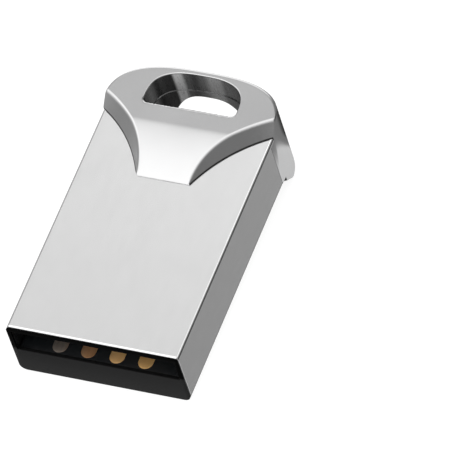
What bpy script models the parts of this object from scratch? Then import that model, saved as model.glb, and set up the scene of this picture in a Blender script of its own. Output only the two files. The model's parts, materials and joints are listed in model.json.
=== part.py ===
"""A capless USB flash drive: a steel plug shell, a cast key-ring cap and a chip module on a plastic carrier.

Lengths are in metres. X is the width, Y runs from the plug's mouth to the key hole, and +Z is the side that the
contacts face. Every piece hangs from the empty "drive", whose own origin is the middle of the plug's mouth, level
with the underside of the shell, so inside it Y is the depth from the mouth.
"""

import math

import bmesh
import bpy

MM = 0.001

# Shell: the envelope of a USB-A plug
SHELL_WIDTH = 12.0 * MM
SHELL_HEIGHT = 4.5 * MM
SHELL_WALL = 0.3 * MM
SHELL_LENGTH = 18.05 * MM
SHELL_SIDE_LENGTH = 17.3 * MM
SHELL_TOP_RADIUS = 0.2 * MM
SHELL_BOTTOM_RADIUS = 0.5 * MM
SHELL_LEAST_RADIUS = 0.06 * MM

# Cap
CAP_RISE = 0.9 * MM
CAP_TIP_LIP = 0.12 * MM
CAP_TIP_Y = 13.2 * MM
CAP_PLATE_Y = 17.1 * MM
CAP_ARCH_Y = 18.0 * MM
CAP_ARCH_DEPTH = 3.6 * MM
CAP_ARCH_POWER = 2.85
CAP_RIM_RADIUS = 0.32 * MM
CAP_SCOOP_Y = 19.9 * MM
CAP_SCOOP_SLOPE = 3.2
CAP_WALL_RADIUS = 10.26 * MM
CAP_WALL_DRAFT = 0.9
CAP_WALL_AXIS = (11.27 * MM, 9.10 * MM)
CAP_WALL_ARC = (100, 190)
CAP_WALL_ROOT = 0.2 * MM
KEY_HOLE_Y = 18.45 * MM
KEY_HOLE_HALF_WIDTH = 3.27 * MM
KEY_HOLE_DEPTH = 2.66 * MM
KEY_HOLE_POWER = 2.8
KEY_HOLE_CORNER = 0.35 * MM
KEY_HOLE_CHAMFER = 0.07 * MM
STUB_START_Y = 16.4 * MM
STUB_MARGIN = 0.25 * MM

# Chip module and its carrier
CONTACT_LEVEL = 2.25 * MM
CONTACT_PITCH = 2.0 * MM
CONTACT_WIDTH = 1.03 * MM
CONTACT_THICKNESS = 0.04 * MM
CONTACT_START_Y = 0.35 * MM
CONTACT_LENGTH = 8.1 * MM
MODULE_WIDTH = 11.2 * MM
MODULE_START_Y = 0.29 * MM
MODULE_LENGTH = 15.3 * MM
BOARD_THICKNESS = 0.28 * MM
MOLD_THICKNESS = 1.02 * MM
TAPE_SIZE = (9.0 * MM, 12.4 * MM, 0.05 * MM)
CARRIER_END_Y = 15.9 * MM
CARRIER_FLOOR = 0.44 * MM
CARRIER_REAR_WALL = 0.25 * MM
CARRIER_WINDOWS = [("window_front", 3.0 * MM, 7.0 * MM), ("window_rear", 8.6 * MM, 13.6 * MM)]
CARRIER_WINDOW_HALF_WIDTH = 3.4 * MM
RIM_THICKNESS = 0.10 * MM

GAP = 0.02 * MM
FIT = 0.04 * MM
SEAM = 0.05 * MM
BEYOND = 1.0 * MM

HALF_WIDTH = SHELL_WIDTH / 2
HALF_BORE = HALF_WIDTH - SHELL_WALL
CAP_TOP = SHELL_HEIGHT + CAP_RISE
LENGTH = CAP_ARCH_Y + CAP_ARCH_DEPTH
BOARD_TOP = CONTACT_LEVEL - CONTACT_THICKNESS - GAP / 2
BOARD_BOTTOM = BOARD_TOP - BOARD_THICKNESS
MOLD_TOP = BOARD_BOTTOM - GAP
MOLD_BOTTOM = MOLD_TOP - MOLD_THICKNESS

# Pieces under the board: name, centre x and y, size x, y and z, how far below the board it hangs, material
UNDER_BOARD = [
    ("controller_attach_film", (1.6, 4.2), (2.8, 2.4, 0.03), 0.0, "attach_film"),
    ("controller_die", (1.6, 4.2), (2.8, 2.4, 0.20), 0.05, "silicon"),
    ("flash_attach_film_lower", (0.0, 11.0), (9.4, 7.2, 0.03), 0.0, "attach_film"),
    ("flash_die_lower", (0.0, 11.0), (9.4, 7.2, 0.16), 0.05, "silicon"),
    ("flash_attach_film_upper", (0.0, 11.3), (9.4, 6.6, 0.03), 0.23, "attach_film"),
    ("flash_die_upper", (0.0, 11.3), (9.4, 6.6, 0.16), 0.28, "silicon"),
    ("crystal", (-3.4, 3.4), (2.0, 1.6, 0.50), 0.0, "crystal_can"),
    ("crystal_capacitor_left", (-4.0, 5.3), (1.0, 0.5, 0.50), 0.0, "ceramic"),
    ("crystal_capacitor_right", (-2.4, 5.3), (1.0, 0.5, 0.50), 0.0, "ceramic"),
    ("capacitor_vbus", (4.6, 1.9), (0.8, 1.6, 0.80), 0.0, "ceramic"),
    ("capacitor_core", (4.6, 4.3), (0.5, 1.0, 0.50), 0.0, "ceramic"),
    ("capacitor_flash", (4.6, 6.2), (0.5, 1.0, 0.50), 0.0, "ceramic"),
    ("resistor_data_plus", (-0.9, 1.8), (0.5, 1.0, 0.35), 0.0, "resistor_body"),
    ("resistor_data_minus", (0.9, 1.8), (0.5, 1.0, 0.35), 0.0, "resistor_body"),
    ("resistor_reference", (2.6, 1.8), (0.5, 1.0, 0.35), 0.0, "resistor_body"),
]

MATERIALS = {
    "shell_steel": ((0.80, 0.80, 0.79), 0.18, 1.0),
    "cap_zinc": ((0.62, 0.62, 0.63), 0.24, 1.0),
    "carrier_plastic": ((0.018, 0.018, 0.019), 0.45, 0.0),
    "board_mask": ((0.012, 0.014, 0.016), 0.4, 0.0),
    "contact_gold": ((0.86, 0.60, 0.26), 0.25, 1.0),
    "mold_epoxy": ((0.03, 0.03, 0.032), 0.6, 0.0),
    "silicon": ((0.18, 0.19, 0.23), 0.15, 0.6),
    "attach_film": ((0.75, 0.70, 0.55), 0.6, 0.0),
    "crystal_can": ((0.72, 0.71, 0.66), 0.3, 1.0),
    "ceramic": ((0.50, 0.38, 0.25), 0.5, 0.0),
    "resistor_body": ((0.05, 0.05, 0.06), 0.4, 0.0),
    "tape": ((0.85, 0.84, 0.80), 0.7, 0.0),
    "adhesive": ((0.62, 0.56, 0.40), 0.35, 0.0),
}


def clear_scene():
    for thing in list(bpy.data.objects):
        bpy.data.objects.remove(thing, do_unlink=True)


def make_material(name):
    colour, roughness, metallic = MATERIALS[name]
    material = bpy.data.materials.new(name)
    material.use_nodes = True
    shader = material.node_tree.nodes["Principled BSDF"]
    shader.inputs["Base Color"].default_value = (*colour, 1.0)
    shader.inputs["Roughness"].default_value = roughness
    shader.inputs["Metallic"].default_value = metallic
    material.diffuse_color = (*colour, 1.0)
    return material


def add_object(name, rings, parent, material=None):
    """A closed object from rings of points, each ring joined to the next, with its first and last ring capped.

    Every object is made this way: the rings have the same number of points and run anticlockwise about the way that
    they advance.
    """
    bm = bmesh.new()
    loops = [[bm.verts.new(point) for point in ring] for ring in rings]
    for lower, upper in zip(loops, loops[1:]):
        for i, corner in enumerate(lower):
            j = (i + 1) % len(lower)
            bm.faces.new((corner, lower[j], upper[j], upper[i]))
    bm.faces.new(loops[0][::-1])
    bm.faces.new(loops[-1])
    bmesh.ops.recalc_face_normals(bm, faces=bm.faces)
    mesh = bpy.data.meshes.new(name)
    bm.to_mesh(mesh)
    bm.free()
    mesh.shade_smooth()
    mesh.set_sharp_from_angle(angle=math.radians(30))
    thing = bpy.data.objects.new(name, mesh)
    thing.parent = parent
    bpy.context.scene.collection.objects.link(thing)
    if material is None:
        thing.hide_render = True
        thing.display_type = "WIRE"
    else:
        mesh.materials.append(material)
    return thing


def upright(outline, bottom, top):
    """Two rings of an outline in X and Y, from the height bottom to the height top."""
    return [[(x, y, z) for x, y in outline] for z in (bottom, top)]


def lengthwise(outline, front, back):
    """Two rings of an outline in X and Z, from the depth front to the depth back."""
    return [[(x, y, z) for x, z in outline] for y in (front, back)]


def crosswise(outline, half_width):
    """Two rings of an outline in Y and Z, reaching half_width to each side."""
    return [[(x, y, z) for y, z in outline] for x in (-half_width, half_width)]


def rectangle(left, right, low, high):
    return [(left, low), (right, low), (right, high), (left, high)]


def cut(thing, cutter):
    modifier = thing.modifiers.new(f"cut {cutter.name}", "BOOLEAN")
    modifier.operation = "DIFFERENCE"
    modifier.object = cutter


def join(thing, other):
    modifier = thing.modifiers.new(f"join {other.name}", "BOOLEAN")
    modifier.operation = "UNION"
    modifier.object = other


def arc(centre, radius, start, end, steps):
    """Points along an arc, with its angles in degrees."""
    angles = [math.radians(start + (end - start) * i / steps) for i in range(steps + 1)]
    return [(centre[0] + radius * math.cos(a), centre[1] + radius * math.sin(a)) for a in angles]


def tube_section(inset, steps=5):
    """The shell's cross-section in X and Z, inset by a wall: small radii above and larger ones below."""
    half = HALF_WIDTH - inset
    low, high = inset, SHELL_HEIGHT - inset
    below = SHELL_BOTTOM_RADIUS - inset
    above = max(SHELL_TOP_RADIUS - inset, SHELL_LEAST_RADIUS)
    return [
        *arc((half - below, low + below), below, -90, 0, steps),
        *arc((half - above, high - above), above, 0, 90, steps),
        *arc((above - half, high - above), above, 90, 180, steps),
        *arc((below - half, low + below), below, 180, 270, steps),
    ]


def make_shell(drive):
    shell = add_object(
        "outer_shell",
        lengthwise(tube_section(0.0), RIM_THICKNESS + GAP, SHELL_LENGTH),
        drive,
        make_material("shell_steel"),
    )
    bore = lengthwise(tube_section(SHELL_WALL), -BEYOND, SHELL_LENGTH + BEYOND)
    cut(shell, add_object("shell_bore", bore, drive))
    # Only the upper and lower walls run on between the cap's tongues and its block
    notch = rectangle(-HALF_WIDTH - BEYOND, HALF_WIDTH + BEYOND, SHELL_WALL, SHELL_HEIGHT - SHELL_WALL)
    notch_rings = lengthwise(notch, SHELL_SIDE_LENGTH, SHELL_LENGTH + BEYOND)
    cut(shell, add_object("shell_side_notch", notch_rings, drive))


def arch_outline(steps=44):
    """The cap from above: square at the tongue's tip, straight along the sides, and a superellipse round the back.

    Each entry is a point and the way outwards there.
    """
    outline = [((HALF_WIDTH, CAP_TIP_Y), (1.0, 0.0))]
    power = 2 / CAP_ARCH_POWER
    for i in range(steps + 1):
        angle = math.pi * i / steps
        across, along = math.cos(angle), math.sin(angle)
        x = HALF_WIDTH * math.copysign(abs(across) ** power, across)
        y = CAP_ARCH_Y + CAP_ARCH_DEPTH * abs(along) ** power
        slope_x = math.copysign(abs(across) ** (2 - power), across) / HALF_WIDTH
        slope_y = abs(along) ** (2 - power) / CAP_ARCH_DEPTH
        size = math.hypot(slope_x, slope_y)
        outline.append(((x, y), (slope_x / size, slope_y / size)))
    outline.append(((-HALF_WIDTH, CAP_TIP_Y), (-1.0, 0.0)))
    return outline


def cap_rings(steps=4):
    """The cap's block from below to above, with its outer edges rounded over."""
    outline = arch_outline()
    levels = []
    for i in range(steps + 1):
        angle = math.radians(90 * i / steps)
        inset = CAP_RIM_RADIUS * (1 - math.sin(angle))
        levels.append((inset, CAP_RIM_RADIUS * (1 - math.cos(angle))))
    below = [(inset, -CAP_RISE + height) for inset, height in levels]
    above = [(inset, CAP_TOP - height) for inset, height in reversed(levels)]
    return [
        [(x - inset * nx, y - inset * ny, z) for (x, y), (nx, ny) in outline]
        for inset, z in below + above
    ]


def ramp_height(y):
    """How far the tongue stands off the shell, level at CAP_PLATE_Y and falling faster towards the tip."""
    share = (CAP_PLATE_Y - y) / (CAP_PLATE_Y - CAP_TIP_Y)
    return CAP_RISE - (CAP_RISE - CAP_TIP_LIP) * share**2


def make_ramp_cutter(name, drive, side, steps=16):
    """What lies beyond the tongue's convex ramp, on the upper side (1) or the lower side (-1)."""
    middle = SHELL_HEIGHT / 2
    start = CAP_TIP_Y - BEYOND
    curve = []
    for i in range(steps + 1):
        y = CAP_TIP_Y + (CAP_PLATE_Y - CAP_TIP_Y) * i / steps
        curve.append((y, middle + side * (middle + ramp_height(y))))
    far = middle + side * (middle + CAP_RISE + BEYOND)
    level = middle + side * (middle + CAP_RISE)
    tip = middle + side * (middle + CAP_TIP_LIP)
    outline = [(start, far), (start, tip), *curve[:-1], (CAP_PLATE_Y, level), (CAP_PLATE_Y, far)]
    return add_object(name, crosswise(outline, HALF_WIDTH + BEYOND), drive)


def make_wall_cutter(name, drive, hand, side, steps=30):
    """A slice of an upright cone: the hollow beside the tongue, right (1) or left (-1), above (1) or below (-1)."""
    middle = SHELL_HEIGHT / 2
    rings = []
    for height in (-CAP_WALL_ROOT, CAP_RISE + CAP_WALL_ROOT):
        radius = CAP_WALL_RADIUS + CAP_WALL_DRAFT * height
        outline = [CAP_WALL_AXIS, *arc(CAP_WALL_AXIS, radius, *CAP_WALL_ARC, steps)]
        z = middle + side * (middle + height)
        rings.append([(hand * x, y, z) for x, y in outline])
    return add_object(name, rings, drive)


def key_hole_outline(grow, steps=24):
    """The D of the key hole, straight towards the plug and rounded behind, grown outwards by a margin."""
    half = KEY_HOLE_HALF_WIDTH + grow
    front = KEY_HOLE_Y - grow
    depth = KEY_HOLE_DEPTH + 2 * grow
    corner = KEY_HOLE_CORNER
    power = 2 / KEY_HOLE_POWER
    base = front + corner
    outline = arc((half - corner, base), corner, -90, 0, 4)[:-1]
    for i in range(steps + 1):
        angle = math.pi * i / steps
        across, along = math.cos(angle), math.sin(angle)
        x = half * math.copysign(abs(across) ** power, across)
        outline.append((x, base + (depth - corner) * abs(along) ** power))
    outline += arc((corner - half, base), corner, 180, 270, 4)[1:]
    return outline


def make_key_hole(drive):
    flare = KEY_HOLE_CHAMFER
    levels = [
        (2 * flare, -CAP_RISE - flare),
        (0.0, -CAP_RISE + flare),
        (0.0, CAP_TOP - flare),
        (2 * flare, CAP_TOP + flare),
    ]
    rings = [[(x, y, z) for x, y in key_hole_outline(grow)] for grow, z in levels]
    return add_object("key_hole", rings, drive)


def make_cap(drive):
    cap = add_object("tail_cap", cap_rings(), drive, make_material("cap_zinc"))
    for side, place in ((1, "above"), (-1, "below")):
        cut(cap, make_ramp_cutter(f"ramp_{place}", drive, side))
        for hand, which in ((1, "right"), (-1, "left")):
            cut(cap, make_wall_cutter(f"hollow_{which}_{place}", drive, hand, side))
    cut(cap, make_key_hole(drive))
    # The slanted back leaves a thin bar behind the key hole and room for a ring to swing
    bottom = -CAP_RISE - BEYOND
    start = CAP_SCOOP_Y - BEYOND / CAP_SCOOP_SLOPE
    rise = CAP_SCOOP_SLOPE * (LENGTH + BEYOND - start)
    slant = [(start, bottom), (LENGTH + BEYOND, bottom), (LENGTH + BEYOND, bottom + rise)]
    cut(cap, add_object("slanted_back", crosswise(slant, HALF_WIDTH + BEYOND), drive))
    # Room for the shell between the tongues, and for its upper and lower walls inside the block
    wide = HALF_WIDTH + BEYOND
    room = rectangle(-wide, wide, -SEAM, SHELL_HEIGHT + SEAM)
    front = CAP_TIP_Y - BEYOND
    cut(cap, add_object("room_for_shell", lengthwise(room, front, SHELL_SIDE_LENGTH + SEAM), drive))
    for name, low in (("slot_below", -SEAM), ("slot_above", SHELL_HEIGHT - SHELL_WALL - SEAM)):
        slot = rectangle(-wide, wide, low, low + SHELL_WALL + 2 * SEAM)
        slot_rings = lengthwise(slot, SHELL_SIDE_LENGTH, SHELL_LENGTH + SEAM)
        cut(cap, add_object(name, slot_rings, drive))
    low = SHELL_WALL + STUB_MARGIN
    half = HALF_BORE - STUB_MARGIN
    stub = rectangle(-half, half, low, SHELL_HEIGHT - low)
    stub_rings = lengthwise(stub, STUB_START_Y, SHELL_SIDE_LENGTH + BEYOND / 2)
    join(cap, add_object("stub", stub_rings, drive))


def make_cap_adhesive(drive):
    """The ring of epoxy between the cap's stub and the inside of the shell."""
    ring = add_object(
        "cap_adhesive",
        lengthwise(tube_section(SHELL_WALL + GAP), STUB_START_Y + GAP, SHELL_SIDE_LENGTH - GAP),
        drive,
        make_material("adhesive"),
    )
    low = SHELL_WALL + STUB_MARGIN - GAP
    half = HALF_BORE - STUB_MARGIN + GAP
    hole = rectangle(-half, half, low, SHELL_HEIGHT - low)
    hole_rings = lengthwise(hole, STUB_START_Y - BEYOND, SHELL_SIDE_LENGTH + BEYOND)
    cut(ring, add_object("adhesive_hole", hole_rings, drive))


def make_carrier(drive):
    """The tray: a floor with two windows, a rear stop, and a front wall whose rim covers the shell's cut edge."""
    half = HALF_BORE - FIT
    bottom = SHELL_WALL + FIT
    floor_top = bottom + CARRIER_FLOOR
    front_wall = MODULE_START_Y - GAP
    profile = [
        (0.0, bottom),
        (CARRIER_END_Y, bottom),
        (CARRIER_END_Y, CONTACT_LEVEL - FIT),
        (CARRIER_END_Y - CARRIER_REAR_WALL, CONTACT_LEVEL - FIT),
        (CARRIER_END_Y - CARRIER_REAR_WALL, floor_top),
        (front_wall, floor_top),
        (front_wall, CONTACT_LEVEL),
        (0.0, CONTACT_LEVEL),
    ]
    carrier = add_object("chip_carrier", crosswise(profile, half), drive, make_material("carrier_plastic"))
    # The floor's corners follow the shell's lower radii
    section = lengthwise(tube_section(SHELL_WALL + FIT), -BEYOND, CARRIER_END_Y + BEYOND)
    keep = carrier.modifiers.new("shell's bore", "BOOLEAN")
    keep.operation = "INTERSECT"
    keep.object = add_object("carrier_section", section, drive)
    for name, start, end in CARRIER_WINDOWS:
        window = rectangle(-CARRIER_WINDOW_HALF_WIDTH, CARRIER_WINDOW_HALF_WIDTH, start, end)
        cut(carrier, add_object(name, upright(window, 0.0, floor_top + GAP), drive))
    rim = add_object("carrier_rim", lengthwise(tube_section(0.0), 0.0, RIM_THICKNESS), drive)
    join(carrier, rim)
    mouth = rectangle(-HALF_BORE, HALF_BORE, CONTACT_LEVEL, SHELL_HEIGHT - SHELL_WALL)
    cut(carrier, add_object("carrier_mouth", lengthwise(mouth, -BEYOND, CARRIER_END_Y + BEYOND), drive))


def make_contacts(drive):
    """Four flat pads with round ends towards the mouth. Seen from the mouth, pin 4 is on the left."""
    gold = make_material("contact_gold")
    names = ["contact_ground", "contact_data_plus", "contact_data_minus", "contact_vbus"]
    half = CONTACT_WIDTH / 2
    for i, name in enumerate(names):
        x = (i - (len(names) - 1) / 2) * CONTACT_PITCH
        end = CONTACT_START_Y + CONTACT_LENGTH
        outline = [
            (x - half, end),
            *arc((x, CONTACT_START_Y + half), half, 180, 360, 14),
            (x + half, end),
        ]
        add_object(name, upright(outline, CONTACT_LEVEL - CONTACT_THICKNESS, CONTACT_LEVEL), drive, gold)


def make_block(name, centre, size, top, parent, material):
    """A rectangular piece from its centre in X and Y, its size, and the height of its top."""
    x, y = centre
    width, depth, height = size
    outline = rectangle(x - width / 2, x + width / 2, y - depth / 2, y + depth / 2)
    return add_object(name, upright(outline, top - height, top), parent, material)


def make_module(drive):
    """The board, the epoxy under it, and what the epoxy encloses, each in a pocket that opens towards the board."""
    middle = (0.0, MODULE_START_Y + MODULE_LENGTH / 2)
    board_size = (MODULE_WIDTH, MODULE_LENGTH, BOARD_THICKNESS)
    make_block("substrate_board", middle, board_size, BOARD_TOP, drive, make_material("board_mask"))
    mold_size = (MODULE_WIDTH, MODULE_LENGTH, MOLD_THICKNESS)
    mold = make_block("mold_cover", middle, mold_size, MOLD_TOP, drive, make_material("mold_epoxy"))
    finishes = {row[4]: make_material(row[4]) for row in UNDER_BOARD}
    hang = MOLD_TOP
    for name, centre, size, drop, finish in UNDER_BOARD:
        place = (centre[0] * MM, centre[1] * MM)
        extent = (size[0] * MM, size[1] * MM, size[2] * MM)
        top = hang - drop * MM
        make_block(name, place, extent, top, drive, finishes[finish])
        depth = MOLD_TOP - top + extent[2] + GAP
        pocket = (extent[0] + 2 * GAP, extent[1] + 2 * GAP, depth + BEYOND)
        cut(mold, make_block(f"pocket_{name}", place, pocket, MOLD_TOP + BEYOND, drive, None))


def make_tape(drive):
    """Double-sided tape between the carrier's floor and the module."""
    middle = (0.0, MODULE_START_Y + MODULE_LENGTH / 2)
    top = MOLD_BOTTOM - GAP / 2
    make_block("module_tape", middle, TAPE_SIZE, top, drive, make_material("tape"))


def main():
    clear_scene()
    drive = bpy.data.objects.new("drive", None)
    drive.location = (0.0, -LENGTH / 2, CAP_RISE)
    bpy.context.scene.collection.objects.link(drive)
    make_shell(drive)
    make_cap(drive)
    make_cap_adhesive(drive)
    make_carrier(drive)
    make_contacts(drive)
    make_module(drive)
    make_tape(drive)


main()
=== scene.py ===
"""Looks for a capless USB flash drive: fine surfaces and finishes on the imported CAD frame, and a studio."""
import json
import math

import bmesh
import bpy
import numpy as np
from mathutils import Matrix, Vector
from mathutils.geometry import delaunay_2d_cdt

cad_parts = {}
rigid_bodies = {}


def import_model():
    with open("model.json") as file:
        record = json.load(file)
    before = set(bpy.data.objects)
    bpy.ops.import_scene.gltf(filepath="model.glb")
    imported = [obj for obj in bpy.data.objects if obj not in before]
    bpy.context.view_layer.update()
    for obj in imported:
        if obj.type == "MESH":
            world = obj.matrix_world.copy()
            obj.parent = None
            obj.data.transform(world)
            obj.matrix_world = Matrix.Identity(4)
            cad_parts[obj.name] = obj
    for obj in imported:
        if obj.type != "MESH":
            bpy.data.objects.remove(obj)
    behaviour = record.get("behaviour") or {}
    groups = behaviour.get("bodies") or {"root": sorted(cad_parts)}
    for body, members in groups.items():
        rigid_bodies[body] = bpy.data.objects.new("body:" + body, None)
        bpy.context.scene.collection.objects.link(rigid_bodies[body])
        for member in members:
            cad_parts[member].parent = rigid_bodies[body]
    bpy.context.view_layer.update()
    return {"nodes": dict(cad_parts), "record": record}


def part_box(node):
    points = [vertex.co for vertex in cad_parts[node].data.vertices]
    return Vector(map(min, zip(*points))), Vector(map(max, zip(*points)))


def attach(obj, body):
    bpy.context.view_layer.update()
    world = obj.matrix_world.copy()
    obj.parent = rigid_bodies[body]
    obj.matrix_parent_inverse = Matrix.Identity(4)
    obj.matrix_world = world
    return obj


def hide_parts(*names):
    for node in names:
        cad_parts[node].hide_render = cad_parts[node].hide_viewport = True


for thing in list(bpy.data.objects):
    bpy.data.objects.remove(thing, do_unlink=True)

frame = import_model()

MM = 0.001
SHELL_LOW, SHELL_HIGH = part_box("outer_shell")
CAP_LOW, CAP_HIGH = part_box("tail_cap")
CARRIER_LOW, CARRIER_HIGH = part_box("chip_carrier")

# Everything below is in millimetres from the middle of the plug's mouth, level with the shell's underside
ORIGIN = Vector((0.0, CARRIER_LOW.y, SHELL_LOW.z))
HALF_WIDTH = (SHELL_HIGH.x - SHELL_LOW.x) / 2 / MM
SHELL_TOP = (SHELL_HIGH.z - SHELL_LOW.z) / MM
SHELL_FRONT = (SHELL_LOW.y - ORIGIN.y) / MM
LENGTH = (CAP_HIGH.y - ORIGIN.y) / MM
CAP_RISE = (CAP_HIGH.z - SHELL_HIGH.z) / MM
TIP_Y = (CAP_LOW.y - ORIGIN.y) / MM

# The cap's own shape
TIP_LIP = 0.13
RAMP_START = 0.06
RAMP_BREAK = 0.25
PLATE_Y = 17.1
ARCH_Y = 18.0
ARCH_DEPTH = LENGTH - ARCH_Y
ARCH_POWER = 2.85
RIM_RADIUS_BACK = 0.30
RIM_RADIUS_SIDE = 0.10
SLANT_Y = 19.9
SLANT_SLOPE = 3.2
SLANT_EDGE_RADIUS = 0.12
WALL_AXIS = (11.27, 9.10)
WALL_RADIUS = 10.26
WALL_SLOPE = 1.0
WALL_BASE = 0.11
FOOT_FLARE = 0.06
WALL_FILLET = 0.13
SLANT_FILLET = 0.08
SIDE_LEAN = math.radians(-14)
SIDE_LEAN_TOP = 4.4
SIDE_LEAN_DEPTH = 2.0
SIDE_LEAN_DROP = 0.85
SIDE_LEAN_DELAY = 0.8
SIDE_LEAN_END = 21.0
SIDE_LEAN_FADE = 1.5
HOLE_Y = 18.45
HOLE_HALF_WIDTH = 3.27
HOLE_DEPTH = 2.66
HOLE_POWER = 2.8
HOLE_CORNER = 0.35
HOLE_EDGE_RADIUS_BACK = 0.07
HOLE_EDGE_RADIUS_FRONT = 0.22
HOLE_LOWER_RADIUS = 0.30
HOLE_STEP_LEVEL = 3.62
HOLE_STEP = 0.05
FAR = 99.0

# Where the shell's walls meet the cap's block
BLOCK_FRONT = 17.32
SHELL_SIDE_END = 17.29
TONGUE_GAP = 0.012
SHELL_WALL = 0.3
WALL_CLEARANCE = 0.03
BLOCK_HIGH = SHELL_TOP - SHELL_WALL - WALL_CLEARANCE
BLOCK_LOW = SHELL_WALL + WALL_CLEARANCE

# The hollows' walls are sampled over this arc, in degrees round WALL_AXIS
WALL_ARC_START = 117.5
WALL_ARC = 40.0

# Rounding of the shell's front edge: at its sides, and what its top adds and its underside takes away
FRONT_RADIUS = 0.09
FRONT_RADIUS_TOP = 0.11
FRONT_RADIUS_LOW = 0.04

# How far the step in the key hole turns upwards, its rounding, and how far the tongue's tip turns upwards
STEP_TILT = 0.7
STEP_EASE = 0.02
TIP_TILT = 1.6

# The first and last segments of a tongue's foot, where its flare fades in and its painted seam shadow is left
# out
FLARE_SEGMENTS = 5
LIGHT_SEGMENTS = 4

# The photo's view: where the camera stands and its turn in its own plane, in degrees, the point it
# aims at and the width it frames. A fit to a map laid over the photo gave these, and they are rounded
CAMERA_AZIMUTH = -54.28
CAMERA_ELEVATION = 51.72
CAMERA_ROLL = -19.06
CAMERA_AIM = (5.3, 10.7, 4.5)
CAMERA_WIDTH = 28.8


# ----------------------------------------------------------------------------------------------- mesh helpers
class Skin:
    """Faces whose corners each carry a point and a normal, welded into one mesh at the end."""

    def __init__(self):
        self.faces = []
        self.slots = []

    def add(self, points, normals, slot=0):
        self.faces.append((points, normals))
        self.slots.append(slot)

    def flat(self, points, normal, slot=0):
        self.add(points, [normal] * len(points), slot)

    def strip(self, first, second, first_normals, second_normals, closed=False, slot=0):
        """Quads between two rows of points that have the same count."""
        count = len(first)
        for i in range(count if closed else count - 1):
            j = (i + 1) % count
            self.add(
                [first[i], first[j], second[j], second[i]],
                [first_normals[i], first_normals[j], second_normals[j], second_normals[i]],
                slot[i] if isinstance(slot, list) else slot,
            )

    def build(self, name, materials):
        verts, index, polys, normals, slots = [], {}, [], [], []
        for (points, corner_normals), slot in zip(self.faces, self.slots):
            poly, kept = [], []
            for point, normal in zip(points, corner_normals):
                key = tuple(round(float(c) * 2e4) for c in point)
                if key not in index:
                    index[key] = len(verts)
                    verts.append([float(c) for c in point])
                if index[key] in poly:
                    continue
                poly.append(index[key])
                kept.append(normal)
            if len(poly) < 3:
                continue
            # Each face turns the way its normals point
            corners = np.array([verts[k] for k in poly])
            turn = np.cross(corners, np.roll(corners, -1, axis=0)).sum(axis=0)
            if float(np.dot(turn, np.sum(np.array(kept, float), axis=0))) < 0:
                poly, kept = poly[::-1], kept[::-1]
            polys.append(poly)
            normals.extend(kept)
            slots.append(slot)
        mesh = bpy.data.meshes.new(name)
        world = [tuple(ORIGIN + Vector(v) * MM) for v in verts]
        mesh.from_pydata(world, [], polys)
        mesh.polygons.foreach_set("use_smooth", [True] * len(polys))
        mesh.polygons.foreach_set("material_index", slots)
        lengths = [max(math.sqrt(sum(float(c) ** 2 for c in n)), 1e-9) for n in normals]
        units = [tuple(float(c) / size for c in n) for n, size in zip(normals, lengths)]
        mesh.normals_split_custom_set(units)
        for material in materials:
            mesh.materials.append(material)
        thing = bpy.data.objects.new(name, mesh)
        bpy.context.scene.collection.objects.link(thing)
        return thing


def inside_loop(x, y, loop):
    """Which points lie inside a closed loop."""
    found = np.zeros(len(x), bool)
    for (x1, y1), (x2, y2) in zip(loop, np.roll(loop, -1, axis=0)):
        crosses = (y1 > y) != (y2 > y)
        with np.errstate(divide="ignore", invalid="ignore"):
            found ^= crosses & (x < (x2 - x1) * (y - y1) / (y2 - y1) + x1)
    return found


def triangulate(loop, hole, extra):
    """Triangles over the region inside the loop and outside the hole, through the extra points as well."""
    points = [*loop, *hole, *extra]
    edges = [(i, (i + 1) % len(loop)) for i in range(len(loop))]
    edges += [(len(loop) + i, len(loop) + (i + 1) % len(hole)) for i in range(len(hole))]
    result = delaunay_2d_cdt([Vector(p) for p in points], edges, [], 0, 1e-6, True)
    origin = [ids[0] if ids else None for ids in result[3]]
    faces = [[origin[k] for k in face] for face in result[2]]
    faces = np.array([f for f in faces if None not in f])
    table = np.array(points, float)
    middle = table[faces].mean(axis=1)
    keep = inside_loop(middle[:, 0], middle[:, 1], np.array(loop, float))
    keep &= ~inside_loop(middle[:, 0], middle[:, 1], np.array(hole, float))
    return table, faces[keep]


# -------------------------------------------------------------------------------------------- the cap's shape
def superellipse(half, depth, power, steps):
    """Half a superellipse from +X over its top to -X in evenly spaced points, with the way out at each."""
    angle = np.linspace(0, math.pi, 6001)
    x = half * np.sign(np.cos(angle)) * np.abs(np.cos(angle)) ** (2 / power)
    y = depth * np.abs(np.sin(angle)) ** (2 / power)
    run = np.concatenate([[0.0], np.cumsum(np.hypot(np.diff(x), np.diff(y)))])
    even = np.linspace(0, run[-1], steps + 1)
    x, y = np.interp(even, run, x), np.interp(even, run, y)
    slope_x = np.sign(x) * np.abs(x / half) ** (power - 1) / half
    slope_y = np.abs(y / depth) ** (power - 1) / depth
    size = np.hypot(slope_x, slope_y)
    return list(zip(zip(x, y), zip(slope_x / size, slope_y / size)))


def arch_points(steps=168):
    """The cap's outer edge in plan, from the right wall's foot round the back, and the way out."""
    start = WALL_AXIS[1] + math.sqrt(WALL_RADIUS**2 - (WALL_AXIS[0] - HALF_WIDTH) ** 2)
    rows = [((HALF_WIDTH, start), (1.0, 0.0))]
    for (x, y), out in superellipse(HALF_WIDTH, ARCH_DEPTH, ARCH_POWER, steps):
        rows.append(((x, ARCH_Y + y), out))
    rows.append(((-HALF_WIDTH, start), (-1.0, 0.0)))
    return rows


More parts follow.
